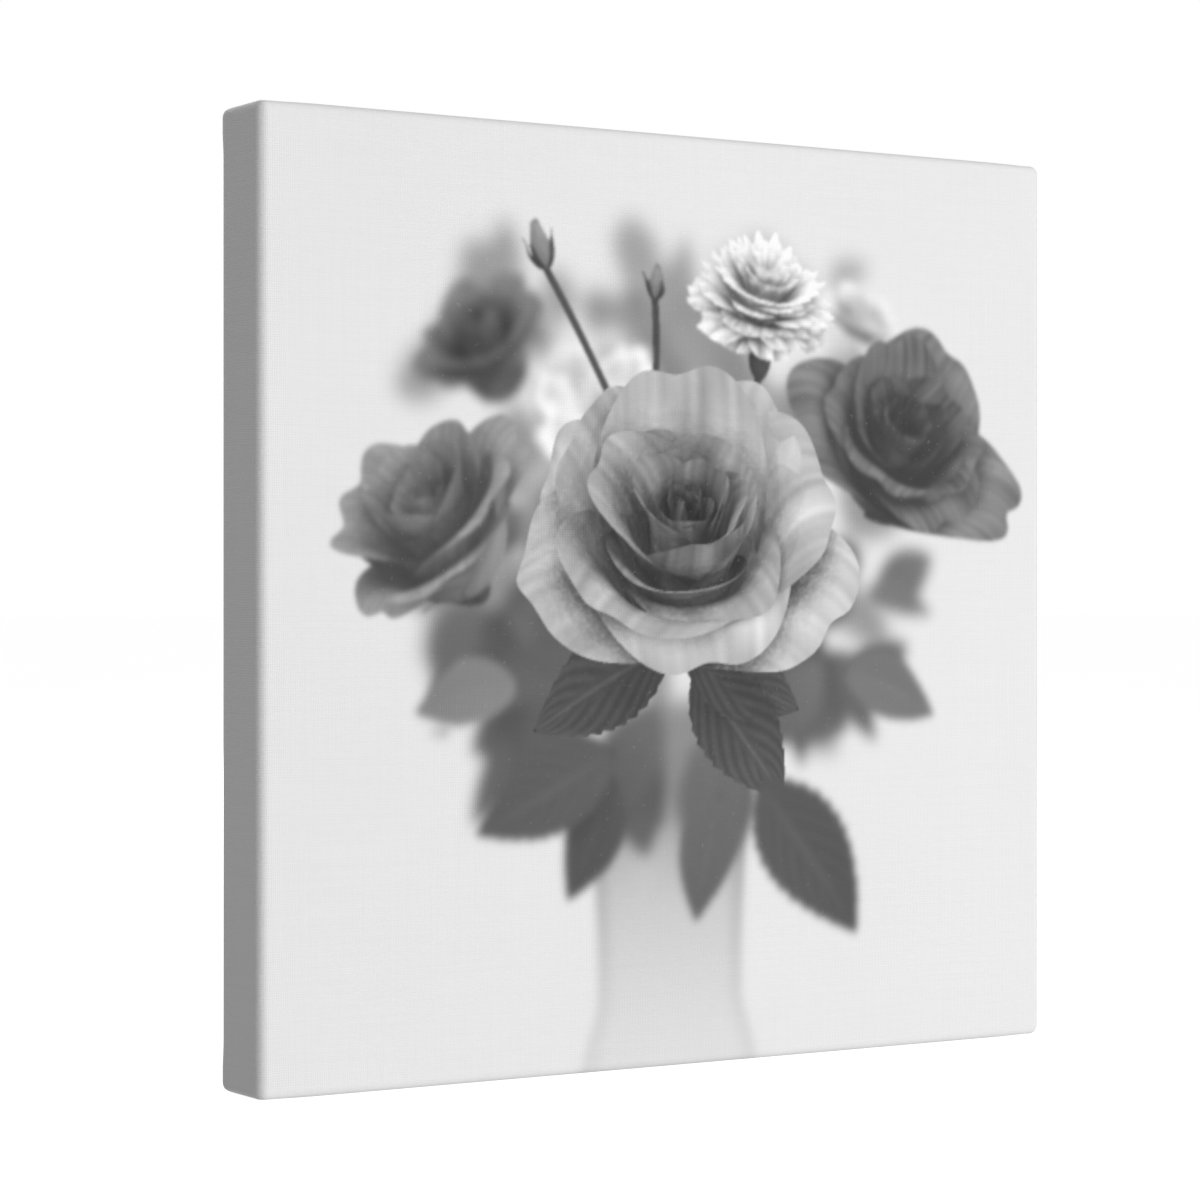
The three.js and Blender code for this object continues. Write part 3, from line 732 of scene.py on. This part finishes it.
def cloth_arrays():
    """The cloth's points and their places on the flat cloth, the face's point that each outer one
    is coloured as and whether it is printed, the cut edge, the faces, and those at the cut."""
    columns = rim_columns()
    start = columns["start"]
    face_out, face_in, face_flat = face_points()
    rim_out, rim_in, rim_flat = rim_points(columns)
    rows, count = rim_out.shape[:2]

    # Outside: the face's grid, then the rim's rows
    outer = [face_out.reshape(-1, 3), rim_out.reshape(-1, 3)]
    face_index = np.arange((CELLS + 1) ** 2).reshape(CELLS + 1, CELLS + 1)
    rim_index = face_index.size + np.arange(rows * count).reshape(rows, count)
    cells, last = shell_cells(face_index, start, rim_index)
    outside, triangles = without_doubles(cells)

    # Inside: the same with fewer columns
    step = np.round(columns["along"] / SIDE * CELLS)
    kept = np.flatnonzero((columns["fold"] >= 0) | (step % INSIDE_STRIDE == 0))
    coarse = slice(None, None, INSIDE_STRIDE)
    few = CELLS // INSIDE_STRIDE + 1
    first = face_index.size + rows * count
    inner = [face_in[coarse, coarse].reshape(-1, 3), rim_in[:, kept].reshape(-1, 3)]
    inner_face = first + np.arange(few * few).reshape(few, few)
    start_row, start_column = np.divmod(start[kept], CELLS + 1)
    inner_start = first + start_row // INSIDE_STRIDE * few + start_column // INSIDE_STRIDE
    inner_rim = first + few * few + np.arange(rows * len(kept)).reshape(rows, len(kept))
    cells, inner_last = shell_cells(inner_face, inner_start, inner_rim)
    inside, more = without_doubles(cells[:, ::-1])
    triangles += more

    # The cut edge, one polygon for each column of the inside
    cut = []
    for k, begin in enumerate(kept):
        after = (k + 1) % len(kept)
        end = kept[after]
        span = np.arange(begin, end + 1) if end > begin else np.r_[begin:count, 0:end + 1]
        cut.append([*last[span].tolist(), int(inner_last[after]), int(inner_last[k])])

    points = np.concatenate(outer + inner)
    flat = np.concatenate([
        face_flat.reshape(-1, 2), rim_flat.reshape(-1, 2),
        face_flat[coarse, coarse].reshape(-1, 2), rim_flat[:, kept].reshape(-1, 2),
    ])
    starts = np.concatenate([np.arange(face_index.size), np.tile(start, rows)])
    far_in = np.repeat(rim_rows()[1].ravel() > PRINT_BLEED, count)
    printed = np.concatenate([np.full(face_index.size, True), ~far_in])
    edge = {"points": rim_out[-1], "inward": unit(rim_out[-1] - rim_out[-4])}
    faces = outside.tolist() + inside.tolist() + triangles
    return points, flat, starts, printed, edge, faces, cut


def link(name, data):
    """A new object in the scene."""
    thing = bpy.data.objects.new(name, data)
    bpy.context.collection.objects.link(thing)
    return thing


def make_cloth():
    """The printed cloth, from its face over the sides to the flaps, with its loose yarns."""
    points, flat, starts, printed, edge, faces, cut = cloth_arrays()
    mesh = bpy.data.meshes.new("cloth")
    mesh.from_pydata(points, [], faces + cut)
    mesh.polygons.foreach_set("use_smooth", np.arange(len(mesh.polygons)) < len(faces))
    picture = bouquet_picture(CELLS + 1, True).ravel()
    bare = np.arange(len(points)) >= len(starts)
    ink = np.full(len(points), PRIMER)
    ink[:len(starts)] = np.where(printed, picture[starts], PRIMER)
    on_cloth = np.concatenate([flat, np.zeros((len(flat), 1))], axis=1)
    for name, kind, field, values in (
        ("ink", "FLOAT", "value", ink),
        ("bare", "FLOAT", "value", bare),
        ("on_cloth", "FLOAT_VECTOR", "vector", on_cloth),
    ):
        made = mesh.attributes.new(name, kind, "POINT")
        made.data.foreach_set(field, values.astype(np.float32).ravel())
    mesh.materials.append(cloth_material())
    thing = link("printed_cloth", mesh)
    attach(thing, BODY)
    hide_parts("canvas")
    make_yarns(edge)


def make_yarns(edge):
    """Loose yarn ends along the cut edge, lying near the wood and curling a little."""
    rng = np.random.default_rng(YARNS)
    curve = bpy.data.curves.new("frayed_yarns", "CURVE")
    curve.dimensions = "3D"
    curve.bevel_depth = YARN_RADIUS
    curve.bevel_resolution = 2
    outward = np.array((0.0, 1.0, 0.0))
    for column in rng.choice(len(edge["points"]), YARNS, replace=False):
        ahead = edge["inward"][column]
        ahead = unit(ahead - outward * (ahead @ outward))
        beside = np.cross(ahead, outward)
        length = rng.uniform(1.5, 5.0) * MM
        swing, curl, lift = rng.normal(0, 0.5), rng.normal(0, 1.6), rng.uniform(0.0, 0.22)
        at = edge["points"][column] - outward * CLOTH_THICK / 2 - ahead * 0.3 * MM
        spline = curve.splines.new("POLY")
        spline.points.add(YARN_POINTS - 1)
        for k in range(YARN_POINTS):
            t = k / (YARN_POINTS - 1)
            spline.points[k].co = (*at, 1.0)
            spline.points[k].radius = 1 - 0.6 * t**2
            angle = swing + curl * t
            heading = ahead * math.cos(angle) + beside * math.sin(angle) + outward * lift * t
            at = at + unit(heading) * length / (YARN_POINTS - 1)
    curve.materials.append(yarn_material())
    thing = link("frayed_yarns", curve)
    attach(thing, BODY)
    return thing


# ---- materials ----------------------------------------------------------------------------------


class Graph:
    """A material's nodes, with one short call for each kind."""

    def __init__(self, name):
        self.material = bpy.data.materials.new(name)
        self.material.use_nodes = True
        self.tree = self.material.node_tree
        self.shader = self.tree.nodes["Principled BSDF"]

    def give(self, socket, value):
        """Links a socket, or sets it. A colour is given as three numbers."""
        if isinstance(value, bpy.types.NodeSocket):
            self.tree.links.new(value, socket)
        else:
            socket.default_value = (*value, 1.0) if socket.type == "RGBA" else value

    def node(self, kind, inputs=(), **settings):
        made = self.tree.nodes.new("ShaderNode" + kind)
        for name, value in settings.items():
            setattr(made, name, value)
        for name, value in dict(inputs).items():
            self.give(made.inputs[name], value)
        return made

    def maths(self, operation, *values):
        made = self.node("Math", operation=operation)
        for socket, value in zip(made.inputs, values):
            self.give(socket, value)
        return made.outputs[0]

    def times(self, first, second):
        return self.maths("MULTIPLY", first, second)

    def plus(self, first, second):
        return self.maths("ADD", first, second)

    def vector_maths(self, operation, first, second):
        return self.node("VectorMath", {0: first, 1: second}, operation=operation).outputs[0]

    def split(self, vector):
        return self.node("SeparateXYZ", {"Vector": vector}).outputs

    def place(self):
        """Where a point is on its own piece."""
        return self.node("TexCoord").outputs["Object"]

    def noise(self, vector, scale, detail=2.0):
        """Soft noise. The scale is one number, or one for each axis."""
        if isinstance(scale, tuple):
            vector, scale = self.vector_maths("MULTIPLY", vector, scale), 1.0
        inputs = {"Vector": vector, "Scale": scale, "Detail": detail}
        return self.node("TexNoise", inputs).outputs["Fac"]

    def remap(self, value, low, high, to_low=0.0, to_high=1.0):
        limits = {"From Min": low, "From Max": high, "To Min": to_low, "To Max": to_high}
        made = self.node("MapRange", {"Value": value, **limits}, interpolation_type="SMOOTHSTEP")
        return made.outputs["Result"]

    def grey(self, value):
        inputs = dict.fromkeys(("Red", "Green", "Blue"), value)
        return self.node("CombineColor", inputs).outputs["Color"]

    def mix(self, share, first, second):
        made = self.node("Mix", data_type="RGBA")
        for name, value in (("Factor", share), ("A", first), ("B", second)):
            self.give(made.inputs[name], value)
        return made.outputs["Result"]

    def attribute(self, name, output="Fac"):
        return self.node("Attribute", attribute_name=name).outputs[output]

    def relief(self, height, deep):
        """Bumps for the shader: their height from 0 to 1, and how deep that is."""
        return self.node("Bump", {"Height": height, "Distance": deep}).outputs["Normal"]

    def finish(self, colour, rough, **sockets):
        """The material, with these on its shader."""
        for name, value in {"Base_Color": colour, "Roughness": rough, **sockets}.items():
            self.give(self.shader.inputs[name.replace("_", " ")], value)
        return self.material


def cloth_material():
    """Plain-woven cotton, primed and printed outside and raw inside, with painted shade in the hollows
    between its threads.
    """
    g = Graph("printed_cotton")
    at = g.attribute("on_cloth", "Vector")
    bare = g.attribute("bare")
    s, t, _ = g.split(at)
    wander = g.noise(at, 60.0)
    s = g.maths("MULTIPLY_ADD", wander, 2 * WARP_PITCH, s)
    t = g.maths("MULTIPLY_ADD", wander, 2 * WEFT_PITCH, t)

    # Threads over and under each other
    warp = g.maths("SINE", g.times(s, math.pi / WARP_PITCH))
    weft = g.maths("SINE", g.times(t, math.pi / WEFT_PITCH))
    over = g.times(g.times(warp, weft), 0.38)
    warp_top = g.times(g.maths("ABSOLUTE", warp), g.plus(0.62, over))
    weft_top = g.times(g.maths("ABSOLUTE", weft), g.maths("SUBTRACT", 0.62, over))
    weave = g.maths("MAXIMUM", warp_top, weft_top)

    # Thick and thin threads, and the primer's own unevenness
    thick_weft = g.noise(at, (18.0, 1 / WEFT_PITCH, 0.0), 1.0)
    thick_warp = g.noise(at, (1 / WARP_PITCH, 14.0, 0.0), 1.0)
    threads = g.plus(thick_weft, thick_warp)
    primer = g.noise(at, 420.0, 3.0)
    cloudy = g.noise(at, 9.0, 2.0)

    relief = g.plus(weave, g.times(threads, 0.30))
    relief = g.plus(relief, g.times(primer, 0.12))

    # Painted shade: every tone, primer included, is a little darker in the hollows between threads
    shade = g.plus(g.remap(weave, 0.1, 0.7, 0.945, 1.0), g.remap(threads, 0.7, 1.3, -0.010, 0.010))
    shade = g.plus(shade, g.remap(cloudy, 0.3, 0.7, -0.008, 0.008))
    grey = g.times(g.attribute("ink"), shade)
    specks = g.times(g.remap(primer, 0.62, 0.78), g.remap(g.attribute("ink"), 0.9, 0.3))
    grey = g.maths("MULTIPLY_ADD", specks, 0.05, grey)

    flecks = g.remap(g.noise(at, 700.0, 1.0), 0.70, 0.76)
    # Raw cotton inside, with painted shade: darker in the hollows between threads, lighter on their
    # tops
    raw = g.mix(weave, (0.50, 0.45, 0.36), (0.72, 0.67, 0.57))
    raw = g.mix(flecks, raw, (0.30, 0.22, 0.13))

    rough = g.plus(g.remap(g.attribute("ink"), 0.1, 0.9, 0.62, 0.74), g.times(primer, 0.10))
    return g.finish(
        g.mix(bare, g.grey(grey), raw), rough, Normal=g.relief(relief, 0.08 * MM),
        Specular_IOR_Level=0.35, Sheen_Weight=0.08, Sheen_Roughness=0.5,
    )


def yarn_material():
    """Loose cotton yarn: pale, soft and a little uneven."""
    g = Graph("loose_yarn")
    at = g.place()
    tufts = g.noise(at, 2400.0, 3.0)
    yarn = g.mix(tufts, (0.56, 0.52, 0.44), (0.84, 0.81, 0.74))
    return g.finish(
        yarn, g.remap(tufts, 0.3, 0.7, 0.8, 0.95), Normal=g.relief(tufts, 0.05 * MM),
        Specular_IOR_Level=0.2, Sheen_Weight=0.2,
    )


def along_grain(g, thing, seed):
    """Object coordinates with the grain's own axis first, moved so that no two pieces match."""
    low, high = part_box(thing.name)
    extents = high - low
    grain = max(range(3), key=lambda axis: extents[axis])
    at = g.split(g.place())
    order = (grain, (grain + 1) % 3, (grain + 2) % 3)
    joined = g.node("CombineXYZ", {name: at[axis] for name, axis in zip("XYZ", order)}).outputs[0]
    return g.vector_maths("ADD", joined, (0.37 * seed, 0.011 * seed, 0.0))


def pine_material(thing, seed):
    """Planed softwood: wavy year rings, a knot or two, pores and planer ripples."""
    g = Graph(f"pine_{thing.name}")
    at = along_grain(g, thing, seed)
    along, across, through = g.split(at)
    wavy = g.noise(at, (7.0, 30.0, 30.0), 3.0)
    stretched = g.vector_maths("MULTIPLY", at, (13.0, 21.0, 21.0))
    cells = g.node("TexVoronoi", {"Vector": stretched, "Scale": 1.0})
    chosen = g.remap(g.split(cells.outputs["Color"])[0], 0.50, 0.52)
    knots = g.plus(cells.outputs["Distance"], g.maths("SUBTRACT", 1.0, chosen))
    knots = g.maths("MULTIPLY_ADD", g.noise(at, 300.0), 0.05, knots)
    knot = g.remap(knots, 0.19, 0.17)
    knot_rings = g.remap(g.maths("SINE", g.times(knots, 190.0)), -1.0, 1.0)
    knot_bark = g.times(knot, g.remap(knots, 0.155, 0.18))

    # Year rings round a heart well outside the piece
    deep = g.plus(through, 0.055)
    heart = g.maths("SQRT", g.plus(g.times(across, across), g.times(deep, deep)))
    heart = g.maths("MULTIPLY_ADD", wavy, 5 * MM, heart)
    heart = g.maths("MULTIPLY_ADD", g.remap(knots, 0.60, 0.12), 7 * MM, heart)
    year = g.maths("FRACT", g.maths("DIVIDE", heart, 2.6 * MM))
    late = g.times(g.maths("POWER", year, 3.0), g.remap(year, 1.0, 0.93))

    fibre = g.noise(at, (16.0, 1400.0, 1400.0))
    pores = g.remap(g.noise(at, (90.0, 2600.0, 2600.0), 1.0), 0.66, 0.74)
    broad = g.noise(at, (3.0, 12.0, 12.0))
    wood = g.mix(late, (0.72, 0.53, 0.32), (0.50, 0.29, 0.13))
    wood = g.mix(g.remap(fibre, 0.3, 0.7, 0.0, 0.30), wood, (0.80, 0.64, 0.44))
    wood = g.mix(g.remap(broad, 0.35, 0.75, 0.0, 0.25), wood, (0.62, 0.41, 0.22))
    wood = g.mix(g.times(pores, 0.35), wood, (0.34, 0.19, 0.09))
    wood = g.mix(knot, wood, g.mix(knot_rings, (0.30, 0.15, 0.07), (0.42, 0.23, 0.11)))
    wood = g.mix(g.times(knot_bark, 0.8), wood, (0.10, 0.045, 0.02))

    planer = g.maths("SINE", g.times(along, 2 * math.pi / (3.1 * MM)))
    relief = g.plus(g.times(late, 0.5), g.times(fibre, 0.8))
    relief = g.maths("MULTIPLY_ADD", planer, 0.06, relief)
    relief = g.maths("SUBTRACT", relief, pores)
    return g.finish(
        wood, g.remap(late, 0.0, 1.0, 0.62, 0.48), Normal=g.relief(relief, 0.06 * MM),
        Specular_IOR_Level=0.4,
    )


def key_material(thing, seed):
    """Sawn beech: short dark flecks and fine saw marks across the grain."""
    g = Graph(f"beech_{thing.name}")
    at = along_grain(g, thing, seed)
    along = g.split(at)[0]
    fibre = g.noise(at, (40.0, 1500.0, 1500.0))
    flecks = g.remap(g.noise(at, (260.0, 1800.0, 1800.0), 1.0), 0.58, 0.68)
    broad = g.noise(at, (14.0, 90.0, 90.0), 3.0)
    wood = g.mix(g.remap(broad, 0.3, 0.7), (0.62, 0.41, 0.24), (0.52, 0.31, 0.16))
    wood = g.mix(g.remap(fibre, 0.35, 0.7, 0.0, 0.4), wood, (0.72, 0.53, 0.34))
    wood = g.mix(g.times(flecks, 0.55), wood, (0.30, 0.15, 0.07))
    uneven = g.maths("MULTIPLY_ADD", broad, 3 * MM, along)
    saw = g.maths("SINE", g.times(uneven, 2 * math.pi / (1.1 * MM)))
    relief = g.plus(g.times(saw, 0.35), g.maths("SUBTRACT", fibre, flecks))
    return g.finish(
        wood, g.remap(fibre, 0.3, 0.7, 0.62, 0.78), Normal=g.relief(relief, 0.06 * MM),
        Specular_IOR_Level=0.35,
    )


def metal_material(name, bright, dull, rough_low, rough_high, wear_scale):
    """Plated steel: the plating varies, dulls in patches and has fine drawn scratches."""
    g = Graph(name)
    at = g.place()
    patches = g.noise(at, wear_scale, 4.0)
    scratches = g.noise(at, (900.0, 900.0, 7000.0))
    pits = g.remap(g.noise(at, 5200.0, 1.0), 0.66, 0.74)
    metal = g.mix(g.remap(patches, 0.40, 0.66), bright, dull)
    metal = g.mix(g.times(pits, 0.5), metal, (0.14, 0.11, 0.08))
    rough = g.plus(g.remap(patches, 0.3, 0.7, rough_low, rough_high), g.times(scratches, 0.12))
    relief = g.maths("SUBTRACT", g.times(scratches, 0.6), pits)
    return g.finish(metal, rough, Normal=g.relief(relief, 0.02 * MM), Metallic=1.0)


def rubber_material():
    """Soft dark rubber with a moulded grain and a little dust."""
    g = Graph("bumper_rubber")
    at = g.place()
    grain = g.noise(at, 2600.0, 3.0)
    dust = g.remap(g.noise(at, 700.0, 4.0), 0.52, 0.72)
    rubber = g.mix(grain, (0.022, 0.022, 0.023), (0.045, 0.044, 0.043))
    rubber = g.mix(g.times(dust, 0.5), rubber, (0.16, 0.15, 0.14))
    return g.finish(
        rubber, g.remap(dust, 0.0, 1.0, 0.52, 0.85), Normal=g.relief(grain, 0.05 * MM)
    )


# ---- the CAD nodes that stay --------------------------------------------------------------------


def dress(thing, material, ease):
    """A CAD node's material, its separate faces joined and its sharp edges eased."""
    thing.data.materials.clear()
    thing.data.materials.append(material)
    weld = thing.modifiers.new("joined_faces", "WELD")
    weld.merge_threshold = 0.01 * MM
    bevel = thing.modifiers.new("eased_edges", "BEVEL")
    bevel.width = ease
    bevel.segments = 3
    bevel.limit_method = "ANGLE"
    bevel.angle_limit = math.radians(35)


def dress_nodes():
    """Every CAD node that isn't replaced gets the looks of its kind."""
    steel = metal_material("galvanised_wire", (0.70, 0.71, 0.73), (0.50, 0.51, 0.53), 0.24, 0.46, 900.0)
    brass = metal_material("brass_plate", (0.80, 0.60, 0.30), (0.60, 0.42, 0.20), 0.20, 0.42, 160.0)
    rubber = rubber_material()
    for count, (name, thing) in enumerate(sorted(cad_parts.items())):
        if name.startswith("stretcher_bar"):
            dress(thing, pine_material(thing, count), 0.35 * MM)
        elif name.startswith("key"):
            dress(thing, key_material(thing, count), 0.25 * MM)
        elif name.startswith("staple"):
            dress(thing, steel, 0.12 * MM)
        elif name.startswith(("sawtooth", "hanger_nail")):
            dress(thing, brass, 0.10 * MM)
        elif name.startswith("bumper"):
            dress(thing, rubber, 0.15 * MM)


# ---- camera, light and floor --------------------------------------------------------------------


def make_camera():
    """Level with the middle of the face and off to its left."""
    camera = bpy.data.cameras.new("camera")
    camera.lens = LENS_MM
    camera.sensor_width = 36.0
    camera.clip_end = 100.0
    thing = link("camera", camera)
    thing.location = (-CAMERA_LEFT * SIDE, FRONT_Y - CAMERA_AWAY * SIDE, MIDDLE_Z)
    thing.rotation_euler = (math.pi / 2, 0.0, CAMERA_HEADING)
    bpy.context.scene.camera = thing


def area_light(name, where, size, watts):
    """A soft lamp that looks at the middle of the canvas."""
    light = bpy.data.lights.new(name, "AREA")
    light.shape = "RECTANGLE"
    light.size, light.size_y = size
    light.energy = watts
    thing = link(name, light)
    thing.location = where
    aim = Vector((0.0, 0.0, MIDDLE_Z))
    thing.rotation_euler = (aim - thing.location).to_track_quat("-Z", "Y").to_euler()


def make_world():
    """A white backdrop that gives the object only a part of that light."""
    world = bpy.data.worlds.new("studio")
    bpy.context.scene.world = world
    world.use_nodes = True
    nodes, links = world.node_tree.nodes, world.node_tree.links
    either = nodes.new("ShaderNodeMixShader")
    seen = nodes.new("ShaderNodeLightPath")
    links.new(seen.outputs["Is Camera Ray"], either.inputs["Fac"])
    for background, strength, socket in (
        (nodes["Background"], ROOM_LIGHT, either.inputs[1]),
        (nodes.new("ShaderNodeBackground"), 1.0, either.inputs[2]),
    ):
        background.inputs["Color"].default_value = (1.0, 1.0, 1.0, 1.0)
        background.inputs["Strength"].default_value = strength
        links.new(background.outputs[0], socket)
    links.new(either.outputs[0], nodes["World Output"].inputs["Surface"])


def make_floor():
    """A plain pale floor that doesn't light the object from below."""
    mesh = bpy.data.meshes.new("floor")
    corners = [(x * FLOOR_REACH, y * FLOOR_REACH, 0) for x, y in ((-1, -1), (1, -1), (1, 1), (-1, 1))]
    mesh.from_pydata(corners, [], [(0, 1, 2, 3)])
    g = Graph("floor_paint")
    mottle = g.remap(g.noise(g.place(), 3.0), 0.3, 0.7, 0.86, 0.88)
    mesh.materials.append(g.finish(
        g.grey(mottle), 0.9, Specular_IOR_Level=0.1,
        Emission_Color=(1.0, 1.0, 1.0), Emission_Strength=FLOOR_GLOW,
    ))
    thing = link("floor", mesh)
    thing.visible_diffuse = thing.visible_glossy = thing.visible_shadow = False


make_camera()
make_world()
make_floor()
for name, (where, lamp_size, watts) in LAMPS.items():
    area_light(name, where, lamp_size, watts)
bpy.context.scene.view_settings.view_transform = "Standard"
make_cloth()
dress_nodes()
